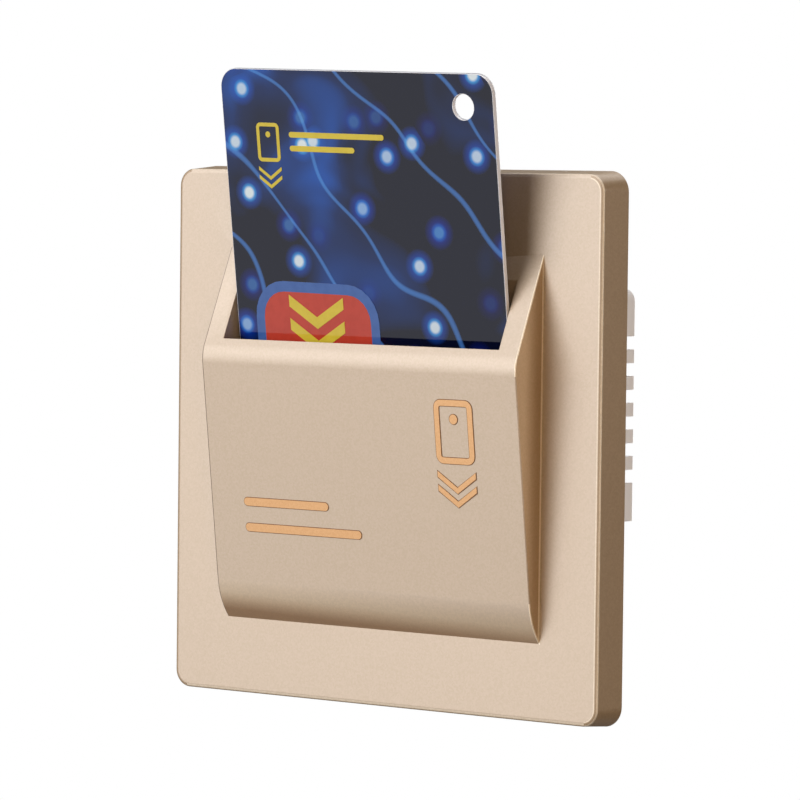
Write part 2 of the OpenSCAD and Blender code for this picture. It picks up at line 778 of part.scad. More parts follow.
// A moulded box that stands on the board's back, with its upper edges bevelled
module board_box(low, high, tall, bevel) {
    back = board_back + tall;
    intersection() {
        along_x(low.x, high.x)
            polygon([
                [board_back, low.y], [back - bevel, low.y], [back, low.y + bevel],
                [back, high.y - bevel], [back - bevel, high.y], [board_back, high.y]
            ]);
        translate([0, 0, low.y])
            linear_extrude(high.y - low.y)
                polygon([
                    [low.x, board_back], [high.x, board_back], [high.x, back - bevel],
                    [high.x - bevel, back], [low.x + bevel, back], [low.x, back - bevel]
                ]);
    }
}

module relay() {
    bevel = 0.8;
    color([0.14, 0.16, 0.20])
        board_box([relay_x, relay_bottom], [relay_x + relay_w, relay_top], relay_t, bevel);
}

module film_capacitor() {
    bevel = 0.5;
    low = relay_bottom - film_drop;
    color([0.86, 0.74, 0.16])
        board_box([film_x, low], [film_x + film_w, low + film_h], film_t, bevel);
}

module smoothing_capacitor() {
    r = can_d / 2;
    edge = 0.4;
    groove = 0.5;
    neck = can_h / 6;
    outline = [
        [0, 0], [r - edge, 0], [r, edge], [r, neck], [r - edge, neck + groove], [r, neck + 2 * groove],
        [r, can_h - edge], [r - edge, can_h], [0, can_h]
    ];
    color(dark) translate([can_x, board_back, row_z]) rotate([-90, 0, 0]) rotate_extrude() polygon(outline);
}

module varistor() {
    mid = disc_x + disc_t / 2;
    axis_y = board_back + disc_lift + disc_d / 2;
    color([0.13, 0.30, 0.62]) {
        rod_x(disc_x, disc_x + disc_t, axis_y, row_z, disc_d / 2);
        for (z = [-disc_d / 4, disc_d / 4])
            rod_y(mid, row_z + z, board_back, axis_y, lead_r);
    }
}

// A part that lies along Z on two bent leads, over a face of the board that looks towards side
module axial(x, z0, l, d, face, side) {
    y = face + side * (d / 2 + lead_lift);
    end = y + side * lead_r;
    low = z0 - lead_run;
    high = z0 + l + lead_run;
    rod_z(x, y, z0, z0 + l, d / 2);
    rod_z(x, y, low, high, lead_r);
    for (z = [low, high]) rod_y(x, z, min(face, end), max(face, end), lead_r);
}

module fuse() {
    color([0.80, 0.82, 0.80]) axial(fuse_x, row_z - fuse_l / 2, fuse_l, fuse_d, board_back, 1);
}

module rectifier_diodes() {
    color(dark)
        for (i = [0 : diode_n - 1])
            axial(diode_x + i * diode_pitch, row_low, diode_l, diode_d, board_back, 1);
}

module resistors() {
    color([0.36, 0.56, 0.66])
        for (i = [0 : resistor_n - 1])
            axial(can_x + i * resistor_pitch, row_low, resistor_l, resistor_d, board_y, -1);
}

module controller_chip() {
    pin_w = 0.42;
    pin_t = 0.4;
    pin_l = 1;
    pin_pitch = 1.27;
    color(dark)
        translate([diode_x, board_y, row_top]) {
            block([-chip_l / 2, -chip_t, 0], [chip_l / 2, -pin_t / 2, chip_w]);
            for (i = [-1.5 : 1.5])
                block([i * pin_pitch - pin_w / 2, -pin_t, -pin_l],
                    [i * pin_pitch + pin_w / 2, 0, chip_w + pin_l]);
        }
}

module switch_body() {
    hole_x = 3.25;
    hole_r = 1;
    hole_up = 1.6;
    slot_x = plunger_l / 2 + plunger_gap;
    slot_y = plunger_w / 2 + plunger_gap;
    color(dark)
        difference() {
            block([-switch_l / 2, board_y - switch_w, switch_z],
                [switch_l / 2, board_y, switch_z + switch_h]);
            block([-slot_x, plunger_y - slot_y, switch_z - past],
                [slot_x, plunger_y + slot_y, switch_z + plunger_in + plunger_out]);
            for (x = [-hole_x, hole_x])
                rod_y(x, switch_z + hole_up, board_y - switch_w - past, board_y + past, hole_r);
        }
}

module switch_plunger() {
    r = plunger_w / 2;
    tip = switch_z - plunger_out;
    color([0.75, 0.12, 0.10]) {
        block([-plunger_l / 2, plunger_y - r, tip + r],
            [plunger_l / 2, plunger_y + r, switch_z + plunger_in]);
        rod_x(-plunger_l / 2, plunger_l / 2, plunger_y, tip + r, r);
    }
}

module card_lever() {
    pivot = [pivot_y, pivot_z];
    half = lever_w / 2;
    color([0.16, 0.16, 0.17])
        difference() {
            union() {
                rod_x(-half, half, pivot_y, pivot_z, hub_r);
                rod_x(-half, half, nose_y, nose_z, nose_r);
                rod_x(-half, half, plunger_y, tail_z, tail_r);
                along_x(-half, half) arm(pivot, [nose_y, nose_z], hub_r, nose_r);
                along_x(-half, half) arm(pivot, [plunger_y, tail_z], hub_r, tail_r);
            }
            rod_x(-half - past, half + past, pivot_y, pivot_z, pin_r + pin_gap);
        }
}

module lever_pin() {
    end = ear_x + ear_t;
    color(steel) rod_x(-end, end, pivot_y, pivot_z, pin_r);
}

module terminal_block() {
    back = step_d + block_d;
    half_w = pole_pitch / 2 - block_wall / 2;
    half_h = cage_h / 2 + cage_gap;
    wire_y = step_d + cage_gap + cage_d / 2;
    bevel = 1;
    color([0.20, 0.22, 0.21])
        difference() {
            along_x(-block_w / 2, block_w / 2)
                polygon([
                    [step_d, block_top - block_h], [back - bevel, block_top - block_h],
                    [back, block_top - block_h + bevel], [back, block_top - bevel],
                    [back - bevel, block_top], [step_d, block_top]
                ]);
            for (x = pole_xs) {
                block([x - half_w, step_d - past, pole_z - half_h],
                    [x + half_w, cage_back, pole_z + half_h]);
                rod_y(x, pole_z, cage_back - past, back + past, clamp_head_r + 2 * cage_gap);
                block([x - wire_w / 2, wire_y - wire_d / 2, block_top - block_h - past],
                    [x + wire_w / 2, wire_y + wire_d / 2, pole_z]);
            }
        }
}

module terminal_cages() {
    front = step_d + cage_gap;
    wire_y = front + cage_d / 2;
    color(brass)
        for (x = pole_xs)
            translate([x, 0, pole_z])
                difference() {
                    union() {
                        block([-cage_w / 2, front, -cage_h / 2], [cage_w / 2, cage_back, cage_h / 2]);
                        block([-tag_w / 2, board_back, -tag_t / 2], [tag_w / 2, front + bite, tag_t / 2]);
                    }
                    block([-wire_w / 2, wire_y - wire_d / 2, -cage_h],
                        [wire_w / 2, wire_y + wire_d / 2, cage_h]);
                    rod_y(0, 0, wire_y, cage_back + past, clamp_r + screw_gap);
                }
}

module terminal_screws() {
    drive_w = 0.8;
    head_back = cage_back + clamp_head_h;
    color(steel)
        for (x = pole_xs)
            translate([x, 0, pole_z])
                difference() {
                    union() {
                        rod_y(0, 0, cage_back, head_back, clamp_head_r);
                        rod_y(0, 0, cage_back - cage_d / 2 + wire_d / 2, cage_back, clamp_r);
                    }
                    block([-clamp_head_r - past, cage_back + clamp_head_h / 2, -drive_w / 2],
                        [clamp_head_r + past, head_back + past, drive_w / 2]);
                }
}

front_cover();
key_card();
rear_housing();
housing_lid();
lid_screws();
circuit_board();
board_screws();
relay();
film_capacitor();
smoothing_capacitor();
varistor();
fuse();
rectifier_diodes();
resistors();
controller_chip();
switch_body();
switch_plunger();
card_lever();
lever_pin();
terminal_block();
terminal_cages();
terminal_screws();
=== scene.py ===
"""Looks of the hotel key card switch. Metres, X to the right, Y into the wall, Z up, as in the frame."""

import json
import math

import bmesh
import bpy
from mathutils import Matrix, Vector


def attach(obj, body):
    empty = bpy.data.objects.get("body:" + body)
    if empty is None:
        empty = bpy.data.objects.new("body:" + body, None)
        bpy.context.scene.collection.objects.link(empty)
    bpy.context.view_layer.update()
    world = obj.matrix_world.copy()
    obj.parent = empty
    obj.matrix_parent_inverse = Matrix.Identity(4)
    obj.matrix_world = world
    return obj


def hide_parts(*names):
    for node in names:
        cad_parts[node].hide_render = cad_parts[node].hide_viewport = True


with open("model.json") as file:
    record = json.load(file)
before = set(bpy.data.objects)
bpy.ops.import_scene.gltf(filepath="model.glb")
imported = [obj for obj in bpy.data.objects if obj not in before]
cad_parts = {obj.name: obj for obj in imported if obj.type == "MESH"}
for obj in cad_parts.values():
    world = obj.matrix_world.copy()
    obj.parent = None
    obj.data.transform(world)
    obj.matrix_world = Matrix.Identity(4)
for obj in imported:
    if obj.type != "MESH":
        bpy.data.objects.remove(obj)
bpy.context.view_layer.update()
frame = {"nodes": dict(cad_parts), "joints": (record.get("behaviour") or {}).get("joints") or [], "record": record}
nodes = frame["nodes"]
record = frame["record"]
MM = 0.001

# The card's size, and its hole's distance from its right and top edges
CARD_WIDE = 54 * MM
CARD_HIGH = 85.6 * MM
HOLE_SIDE = 5.8 * MM
HOLE_DOWN = 5.2 * MM

# The plate's front face, and how far from the middle the plate's edges and the pocket's side walls start
PLATE_FACE = -6 * MM
PLATE_EDGE = 40 * MM
POCKET_WALL = 30 * MM

# The heights where the pocket's lip ends, its chin starts to turn under and the chin meets the plate
LIP_FOOT = 10 * MM
CHIN_TOP = -23.95 * MM
CHIN_FOOT = -30.3 * MM
# Half the chin's width
CHIN_HALF = 31.5 * MM
# The front of the crease between the pocket's right wall and the plate
CREASE_FRONT = -6.4 * MM

# Points closer than this are one point, faces flatter than this are one flat, and edges sharper than this
# stay sharp in the shading.
WELD = 0.001 * MM
FLAT_ANGLE = math.radians(0.6)
SHARP_ANGLE = math.radians(35)

# The sockets of a Mix node for colours: the share, the two colours and the result
MIX_SHARE = 0
MIX_FIRST = 6
MIX_SECOND = 7
MIX_RESULT = 2


# Faces that carry print

def face_frame(origin, up, front):
    """The frame of a flat face: X to its right, Y up along it and Z out of it."""
    right = up.cross(front).normalized()
    return Matrix.Translation(origin) @ Matrix((right, up, front)).transposed().to_4x4()


slide = next(j for j in frame["joints"] if j["name"] == "card_slide")
hole = next(m for m in record["mounts"] if m["name"] == "card_hole")
card_up = Vector(slide["axis"]).normalized()
card_front = Vector(hole["axis"]).normalized()
card_right = card_up.cross(card_front)
card_foot = Vector(hole["pos_m"])
card_foot -= card_right * (CARD_WIDE / 2 - HOLE_SIDE)
card_foot -= card_up * (CARD_HIGH - HOLE_DOWN)
card_reach = max(card_front.dot(v.co) for v in nodes["key_card"].data.vertices)
card_foot += card_front * (card_reach - card_front.dot(card_foot))
card_face = face_frame(card_foot, card_up, card_front)

# The pocket's front is the largest flat of the cover that leans slightly down.
slopes = [f for f in nodes["front_cover"].data.polygons
          if f.normal.y < -0.9 and -0.2 < f.normal.z < -0.05]
pocket_flat = max(slopes, key=lambda f: f.area)
pocket_front = pocket_flat.normal.normalized()
pocket_up = pocket_front.cross(Vector((1, 0, 0)))
pocket_middle = Vector((0, pocket_front.dot(pocket_flat.center) / pocket_front.y, 0))
pocket_face = face_frame(pocket_middle, pocket_up, pocket_front)


# Materials

def linear(hex_code):
    """An sRGB hex colour as linear red, green, blue and alpha."""
    shares = [int(hex_code[i:i + 2], 16) / 255 for i in (1, 3, 5)]
    return [s / 12.92 if s <= 0.04045 else ((s + 0.055) / 1.055) ** 2.4 for s in shares] + [1.0]


def add(tree, kind, inputs=None, stops=(), **settings):
    """Adds a node with its settings, its inputs as values or links, and the stops of a colour ramp."""
    node = tree.nodes.new(kind)
    for name, value in settings.items():
        setattr(node, name, value)
    for key, value in (inputs or {}).items():
        if isinstance(value, bpy.types.NodeSocket):
            tree.links.new(value, node.inputs[key])
        else:
            node.inputs[key].default_value = value
    for i, (place, hex_code) in enumerate(stops):
        points = node.color_ramp.elements
        point = points[i] if i < 2 else points.new(place)
        point.position = place
        point.color = linear(hex_code)
    return node


def start_material(name, values):
    """A new material and its shader, with the values that are the same all over set on the shader."""
    made = bpy.data.materials.new(name)
    made.use_nodes = True
    shader = made.node_tree.nodes["Principled BSDF"]
    for key, value in values.items():
        shader.inputs[key].default_value = value
    return made, made.node_tree, shader


def champagne_lacquer(name, dark, light):
    # Metallic lacquer sprayed on moulded ABS: satin and warm, with a fine grain of aluminium flakes.
    # Real flakes are near 0.05 mm and are drawn at 0.28 mm so that they show. The spray dries to a slight
    # peel, 0.35 mm from crest to crest.
    made, tree, shader = start_material(
        name,
        {"Metallic": 0.6, "Roughness": 0.7, "Coat Weight": 1.0, "Coat Roughness": 0.4, "Coat IOR": 1.7})
    place = add(tree, "ShaderNodeTexCoord").outputs["Object"]
    flakes = add(tree, "ShaderNodeTexVoronoi", {"Vector": place, "Scale": 1 / (0.28 * MM)})
    tone = add(tree, "ShaderNodeValToRGB", {"Fac": flakes.outputs["Color"]},
               stops=[(0.2, dark), (0.8, light)])
    peel = add(tree, "ShaderNodeTexNoise", {"Vector": place, "Scale": 1 / (0.35 * MM), "Detail": 1.0})
    relief = add(tree, "ShaderNodeBump",
                 {"Height": peel.outputs["Fac"], "Strength": 0.1, "Distance": 0.01 * MM})
    tree.links.new(tone.outputs["Color"], shader.inputs["Base Color"])
    tree.links.new(relief.outputs["Normal"], shader.inputs["Normal"])
    return made


def lacquer_with_chin_shade():
    # The same lacquer on the pocket's chin, in matched tones that are painted light and shade: palest at
    # mid-height, a painted highlight, and brown towards the foot, painted shade, which climbs higher at the
    # left end. The paint keeps that light and shade under other light.
    made = champagne_lacquer("champagne_lacquer_painted_chin_shade", "#F6F6F6", "#FFFFFF")
    tree = made.node_tree
    shader = tree.nodes["Principled BSDF"]
    flakes = shader.inputs["Base Color"].links[0].from_socket
    place = add(tree, "ShaderNodeTexCoord").outputs["Object"]
    axes = add(tree, "ShaderNodeSeparateXYZ", {"Vector": place})
    fall = add(tree, "ShaderNodeMapRange",
               {"Value": axes.outputs["Z"], "From Min": CHIN_TOP, "From Max": CHIN_FOOT})
    lean = add(tree, "ShaderNodeMapRange",
               {"Value": axes.outputs["X"], "From Min": -CHIN_HALF, "From Max": CHIN_HALF,
                "To Min": 0.19, "To Max": -0.13})
    reach = add(tree, "ShaderNodeMath", {0: fall.outputs["Result"], 1: lean.outputs["Result"]})
    turn = add(tree, "ShaderNodeValToRGB", {"Fac": reach.outputs[0]},
               stops=[(0.05, "#C2AF9A"), (0.50, "#CDB99F"), (0.66, "#C6AE91"), (0.95, "#A68461")])
    tone = add(tree, "ShaderNodeMix",
               {MIX_SHARE: 1.0, MIX_FIRST: turn.outputs["Color"], MIX_SECOND: flakes},
               data_type="RGBA", blend_type="MULTIPLY")
    tree.links.new(tone.outputs[MIX_RESULT], shader.inputs["Base Color"])
    return made


def moulded_plastic(name, dark, light, values, cloud_size, grain_size, grain_depth):
    """A moulded plastic: its colour clouds faintly, and its mould leaves a fine grain."""
    made, tree, shader = start_material(name, values)
    place = add(tree, "ShaderNodeTexCoord").outputs["Object"]
    cloud = add(tree, "ShaderNodeTexNoise", {"Vector": place, "Scale": 1 / cloud_size, "Detail": 2.0})
    tone = add(tree, "ShaderNodeValToRGB", {"Fac": cloud.outputs["Fac"]},
               stops=[(0.3, dark), (0.7, light)])
    grain = add(tree, "ShaderNodeTexNoise", {"Vector": place, "Scale": 1 / grain_size, "Detail": 1.0})
    relief = add(tree, "ShaderNodeBump",
                 {"Height": grain.outputs["Fac"], "Strength": 0.25, "Distance": grain_depth})
    tree.links.new(tone.outputs["Color"], shader.inputs["Base Color"])
    tree.links.new(relief.outputs["Normal"], shader.inputs["Normal"])
    return made


def laminated_print():
    # Offset print under a clear laminate: near-black navy with royal blue clouds, thin flowing lines and
    # soft points of light, all under one glossy coat. The clouds are some 24 mm across, the lines 9 mm and
    # the points 9.5 mm apart. Print dots near 0.15 mm are too fine to draw.
    band = 2 * math.pi / 20  # one band of a wave texture at scale 1
    made, tree, shader = start_material(
        "laminated_pvc_print",
        {"Roughness": 0.5, "Specular IOR Level": 0.0, "Coat Weight": 0.9, "Coat Roughness": 0.06})
    place = add(tree, "ShaderNodeTexCoord").outputs["Object"]
    flat = add(tree, "ShaderNodeMapping",
               {"Vector": place, "Location": card_foot, "Rotation": card_face.to_euler()},
               vector_type="TEXTURE").outputs["Vector"]
    cloud = add(tree, "ShaderNodeTexNoise",
                {"Vector": flat, "Scale": 1 / (24 * MM), "Detail": 2.0, "Distortion": 0.8},
                noise_dimensions="2D")
    ground = add(tree, "ShaderNodeValToRGB", {"Fac": cloud.outputs["Fac"]},
                 stops=[(0.44, "#050B26"), (0.60, "#082A66"), (0.76, "#1453B4")])
    flow = add(tree, "ShaderNodeTexWave",
               {"Vector": flat, "Scale": band / (9 * MM), "Distortion": 7.0, "Detail": 1.0,
                "Detail Scale": 0.8},
               wave_type="BANDS", bands_direction="DIAGONAL")
    line = add(tree, "ShaderNodeValToRGB", {"Fac": flow.outputs["Fac"]},
               stops=[(0.988, "#000000"), (0.999, "#3C6FB8")])
    spots = add(tree, "ShaderNodeTexVoronoi", {"Vector": flat, "Scale": 1 / (9.5 * MM)},
                voronoi_dimensions="2D")
    power = add(tree, "ShaderNodeValToRGB", {"Fac": spots.outputs["Color"]},
                stops=[(0.3, "#0C2C70"), (0.5, "#5A9CE4"), (0.7, "#FFFFFF")])
    glow = add(tree, "ShaderNodeValToRGB", {"Fac": spots.outputs["Distance"]},
               stops=[(0.075, "#E4F4FF"), (0.12, "#3F9BE8"), (0.17, "#0D3F9A"), (0.30, "#000000")])
    lit = add(tree, "ShaderNodeMix",
              {MIX_SHARE: 1.0, MIX_FIRST: glow.outputs["Color"], MIX_SECOND: power.outputs["Color"]},
              data_type="RGBA", blend_type="MULTIPLY")
    lined = add(tree, "ShaderNodeMix",
                {MIX_SHARE: 1.0, MIX_FIRST: ground.outputs["Color"], MIX_SECOND: line.outputs["Color"]},
                data_type="RGBA", blend_type="SCREEN")
    full = add(tree, "ShaderNodeMix",
               {MIX_SHARE: 1.0, MIX_FIRST: lined.outputs[MIX_RESULT], MIX_SECOND: lit.outputs[MIX_RESULT]},
               data_type="RGBA", blend_type="SCREEN")
    tree.links.new(full.outputs[MIX_RESULT], shader.inputs["Base Color"])
    return made


def screen_ink(name, thin, full):
    # Screen ink under the same laminate: strong flat colour, a little uneven where the mesh laid it thin.
    made, tree, shader = start_material(
        name, {"Roughness": 0.5, "Specular IOR Level": 0.0, "Coat Weight": 0.9, "Coat Roughness": 0.06})
    place = add(tree, "ShaderNodeTexCoord").outputs["Object"]
    lay = add(tree, "ShaderNodeTexNoise", {"Vector": place, "Scale": 1 / (1.5 * MM), "Detail": 2.0})
    tone = add(tree, "ShaderNodeValToRGB", {"Fac": lay.outputs["Fac"]}, stops=[(0.3, thin), (0.6, full)])
    tree.links.new(tone.outputs["Color"], shader.inputs["Base Color"])
    return made


def copper_ink():
    # Copper powder in a clear binder, screened on the lacquer: a pale warm orange with a fine glint.
    # The powder is near 0.03 mm and is drawn at 0.2 mm so that it shows.
    made, tree, shader = start_material("copper_powder_ink", {"Metallic": 0.7, "Roughness": 0.5})
    place = add(tree, "ShaderNodeTexCoord").outputs["Object"]
    powder = add(tree, "ShaderNodeTexVoronoi", {"Vector": place, "Scale": 1 / (0.2 * MM)})
    tone = add(tree, "ShaderNodeValToRGB", {"Fac": powder.outputs["Color"]},
               stops=[(0.2, "#C99C6E"), (0.8, "#D0A478")])
    tree.links.new(tone.outputs["Color"], shader.inputs["Base Color"])
    return made


def zinc_plated_steel():
    # Bright zinc on cold-headed steel: pale, faintly blue, with a fine crystal mottle and uneven gloss.
    # The crystals are near 0.1 mm and are drawn at 0.25 mm.
    made, tree, shader = start_material("zinc_plated_steel", {"Metallic": 1.0})
    place = add(tree, "ShaderNodeTexCoord").outputs["Object"]
    crystal = add(tree, "ShaderNodeTexVoronoi", {"Vector": place, "Scale": 1 / (0.25 * MM)})
    tone = add(tree, "ShaderNodeValToRGB", {"Fac": crystal.outputs["Color"]},
               stops=[(0.1, "#B4B8BE"), (0.9, "#CDD0D4")])
    haze = add(tree, "ShaderNodeTexNoise", {"Vector": place, "Scale": 1 / (0.7 * MM), "Detail": 2.0})
    gloss = add(tree, "ShaderNodeMapRange", {"Value": haze.outputs["Fac"], "To Min": 0.3, "To Max": 0.5})
    tree.links.new(tone.outputs["Color"], shader.inputs["Base Color"])
    tree.links.new(gloss.outputs["Result"], shader.inputs["Roughness"])
    return made


def stamped_brass():
    # Brass strip, rolled and folded: yellow, with streaks along the rolling direction some 0.4 mm wide.
    made, tree, shader = start_material("stamped_brass", {"Metallic": 1.0, "Roughness": 0.34})
    place = add(tree, "ShaderNodeTexCoord").outputs["Object"]
    drawn = add(tree, "ShaderNodeMapping", {"Vector": place, "Scale": (1, 0.08, 1)}).outputs["Vector"]
    streak = add(tree, "ShaderNodeTexNoise", {"Vector": drawn, "Scale": 1 / (0.4 * MM), "Detail": 2.0})
    tone = add(tree, "ShaderNodeValToRGB", {"Fac": streak.outputs["Fac"]},
               stops=[(0.3, "#B8923F"), (0.7, "#D3B062")])
    tree.links.new(tone.outputs["Color"], shader.inputs["Base Color"])
    return made


def masked_laminate():
    # Green solder mask over etched copper on glass laminate: glossy, paler where tracks run beneath it.
    made, tree, shader = start_material("solder_masked_laminate", {"Roughness": 0.3, "IOR": 1.55})
    place = add(tree, "ShaderNodeTexCoord").outputs["Object"]
    flat = add(tree, "ShaderNodeMapping",
               {"Vector": place, "Rotation": (math.radians(90), 0, 0)}).outputs["Vector"]
    tracks = add(tree, "ShaderNodeTexBrick",
                 {"Vector": flat, "Color1": linear("#0C5A2C"), "Color2": linear("#0A4F27"),
                  "Mortar": linear("#2C8A4C"), "Scale": 1.0, "Mortar Size": 0.35 * MM,
                  "Mortar Smooth": 0.2, "Brick Width": 6 * MM, "Row Height": 2.54 * MM})
    relief = add(tree, "ShaderNodeBump",
                 {"Height": tracks.outputs["Fac"], "Strength": 0.3, "Distance": 0.035 * MM})
    tree.links.new(tracks.outputs["Color"], shader.inputs["Base Color"])
    tree.links.new(relief.outputs["Normal"], shader.inputs["Normal"])
    return made


lacquer = champagne_lacquer("champagne_metallic_lacquer", "#BDAA93", "#C3B09C")
# The lacquer's tones by place are matched, and all but the plain one are painted light and shade. On the
# edges: a fine pale line, a painted highlight, on the plate's right, top and bottom edges; a paler line, a
# stronger painted highlight, along parts of the pocket's right edges and in its right crease; and a fine
# brown line, painted shade, along the pocket's left edges.
lacquer_with_edge_highlight = champagne_lacquer("champagne_lacquer_painted_edge_highlight", "#D6C6B0", "#DECFBB")
lacquer_with_strong_highlight = champagne_lacquer("champagne_lacquer_painted_strong_highlight", "#F2E5D0", "#F8ECDA")
lacquer_in_edge_shade = champagne_lacquer("champagne_lacquer_painted_edge_shade", "#6E5A46", "#7A6450")
# On the plate's sides, and on some bevels of its front edge, it is browner: painted shade.
lacquer_in_side_shade = champagne_lacquer("champagne_lacquer_painted_side_shade", "#9E8464", "#A68C6C")
# On the pocket's side walls it is warmer: painted warm shade.
lacquer_in_wall_shade = champagne_lacquer("champagne_lacquer_painted_wall_shade", "#C0A37E", "#C6A986")
print_face = laminated_print()
copper = copper_ink()
yellow_ink = screen_ink("yellow_screen_ink", "#DAC63E", "#E0CC44")
red_ink = screen_ink("red_screen_ink", "#C04030", "#C74434")
brown_ink = screen_ink("brown_screen_ink", "#7E5A38", "#8A6440")
blue_ink = screen_ink("blue_screen_ink", "#4066B0", "#466CB6")
steel = zinc_plated_steel()
brass = stamped_brass()
laminate = masked_laminate()
# White ABS from a spark-eroded mould: matt, faintly cool, with a slight grain.
case_abs = moulded_plastic(
    "white_moulded_abs", "#F1F0F4", "#F4F3F7", {"Roughness": 0.42, "IOR": 1.53},
    cloud_size=9 * MM, grain_size=0.25 * MM, grain_depth=0.02 * MM)
# White PVC core of the card where the print was punched through: bright, smooth and faintly blue.
card_pvc = moulded_plastic(
    "white_card_pvc", "#E9ECF8", "#EEF1FC", {"Roughness": 0.3, "IOR": 1.53},
    cloud_size=6 * MM, grain_size=0.3 * MM, grain_depth=0.005 * MM)
# Black glass-filled PBT of the relay: dark grey and dry, with a mottle of fibres near the surface.
relay_pbt = moulded_plastic(
    "black_filled_pbt", "#1B1D22", "#26292F", {"Roughness": 0.5, "IOR": 1.57},
    cloud_size=3 * MM, grain_size=0.2 * MM, grain_depth=0.03 * MM)
# Yellow PBT box of the film capacitor: bright and fairly glossy.
film_pbt = moulded_plastic(
    "yellow_box_pbt", "#D6AE2A", "#E0BA36", {"Roughness": 0.3, "IOR": 1.57},
    cloud_size=4 * MM, grain_size=0.3 * MM, grain_depth=0.01 * MM)
# Shrink sleeve of PET on the aluminium can: near black, glossy and slightly wavy.
can_pet = moulded_plastic(
    "black_shrink_sleeve", "#14171E", "#1E222B", {"Roughness": 0.22, "IOR": 1.57},
    cloud_size=4 * MM, grain_size=1.2 * MM, grain_depth=0.03 * MM)
# Dipped blue epoxy of the varistor: a thick glossy coat with the runs of the dip.
varistor_epoxy = moulded_plastic(
    "blue_dipped_epoxy", "#1F4A96", "#2A58A8", {"Roughness": 0.2, "IOR": 1.55},
    cloud_size=2 * MM, grain_size=1.6 * MM, grain_depth=0.05 * MM)
# Ceramic tube of the fuse: off-white, smooth and faintly speckled.
fuse_ceramic = moulded_plastic(
    "white_fuse_ceramic", "#C8C5BC", "#D6D3CA", {"Roughness": 0.35, "IOR": 1.6},
    cloud_size=0.6 * MM, grain_size=0.3 * MM, grain_depth=0.01 * MM)
# Black moulding epoxy of the chip and diodes: matt, with the sparkle of its silica filler.
chip_epoxy = moulded_plastic(
    "black_moulding_epoxy", "#17171A", "#232326", {"Roughness": 0.6, "IOR": 1.55},
    cloud_size=0.5 * MM, grain_size=0.15 * MM, grain_depth=0.02 * MM)
# Pale blue lacquer of the film resistors: glossy, drawn thin at the shoulders.
resistor_lacquer = moulded_plastic(
    "blue_resistor_lacquer", "#4C7F98", "#6A9CB2", {"Roughness": 0.25, "IOR": 1.5},
    cloud_size=1.2 * MM, grain_size=0.5 * MM, grain_depth=0.01 * MM)
# Black phenolic case of the snap-action switch: matt with a faint brown cast.
switch_phenolic = moulded_plastic(
    "black_phenolic", "#1C1A19", "#272423", {"Roughness": 0.45, "IOR": 1.6},
    cloud_size=2 * MM, grain_size=0.2 * MM, grain_depth=0.02 * MM)
# Red acetal of the plunger and black acetal of the lever: waxy and smooth.
plunger_acetal = moulded_plastic(
    "red_acetal", "#A8201C", "#BC2A24", {"Roughness": 0.32, "IOR": 1.48},
    cloud_size=1.5 * MM, grain_size=0.3 * MM, grain_depth=0.005 * MM)
lever_acetal = moulded_plastic(
    "black_acetal", "#232325", "#2E2E31", {"Roughness": 0.32, "IOR": 1.48},
    cloud_size=2 * MM, grain_size=0.3 * MM, grain_depth=0.005 * MM)
# Flame-retardant grey-black polyamide of the terminal block: satin, faintly mottled by its filler.
terminal_polyamide = moulded_plastic(
    "dark_terminal_polyamide", "#2B2E2D", "#373A39", {"Roughness": 0.42, "IOR": 1.53},
    cloud_size=2.5 * MM, grain_size=0.25 * MM, grain_depth=0.02 * MM)


# Modelling

def open_copy(name, piece_name, materials):
    """A merged copy of a part's mesh with its flat faces joined, left open in edit mode."""
    bpy.ops.object.select_all(action="DESELECT")
    piece = bpy.data.objects.new(piece_name, nodes[name].data.copy())
    piece.data.materials.clear()
    for material in materials:
        piece.data.materials.append(material)
    bpy.context.collection.objects.link(piece)
    piece.select_set(True)
    bpy.context.view_layer.objects.active = piece
    bpy.ops.object.mode_set(mode="EDIT")
    bpy.ops.mesh.select_all(action="SELECT")
    bpy.ops.mesh.remove_doubles(threshold=WELD)
    bpy.ops.mesh.dissolve_limited(angle_limit=FLAT_ANGLE)
    return piece


def round_edges(piece, width, wanted=lambda middle: True, steps=3, least=25, finish=0):
    """Rounds the edges that are sharper than the least angle and wanted by their middle, in that finish."""
    bpy.ops.mesh.select_mode(type="EDGE")
    bpy.ops.mesh.select_all(action="DESELECT")
    mesh = bmesh.from_edit_mesh(piece.data)
    for edge in mesh.edges:
        middle = (edge.verts[0].co + edge.verts[1].co) / 2
        sharp = edge.calc_face_angle(0) > math.radians(least)
        edge.select_set(sharp and wanted(middle))
    bmesh.update_edit_mesh(piece.data)
    bpy.ops.mesh.bevel(offset=width, segments=steps, profile=0.5, clamp_overlap=True, material=finish)


def close_copy(piece, node, body):
    """Leaves edit mode, shades roundings smooth and flats flat, and puts the piece in its part's place."""
    bpy.ops.mesh.select_mode(type="EDGE")
    bpy.ops.mesh.select_all(action="SELECT")
    bpy.ops.mesh.dissolve_degenerate(threshold=WELD)
    bpy.ops.mesh.select_all(action="DESELECT")
    bpy.ops.mesh.edges_select_sharp(sharpness=SHARP_ANGLE)
    bpy.ops.mesh.mark_sharp()
    bpy.ops.object.mode_set(mode="OBJECT")
    bpy.ops.object.shade_smooth()
    weigh = piece.modifiers.new("even_normals", "WEIGHTED_NORMAL")
    weigh.keep_sharp = True
    bpy.ops.object.modifier_apply(modifier=weigh.name)
    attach(piece, body)
    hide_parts(node)


def set_finish(piece, choose):
    """Gives each face of the piece that is open the finish that the function chooses."""
    mesh = bmesh.from_edit_mesh(piece.data)
    for face in mesh.faces:
        face.material_index = choose(face)
    bmesh.update_edit_mesh(piece.data)


# The cover's finishes, in the order of its materials. All but the full lacquer are painted light or shade.
FULL, EDGE_HIGHLIGHT, EDGE_SHADE, SIDE_SHADE, WALL, CHIN, STRONG_HIGHLIGHT = range(7)

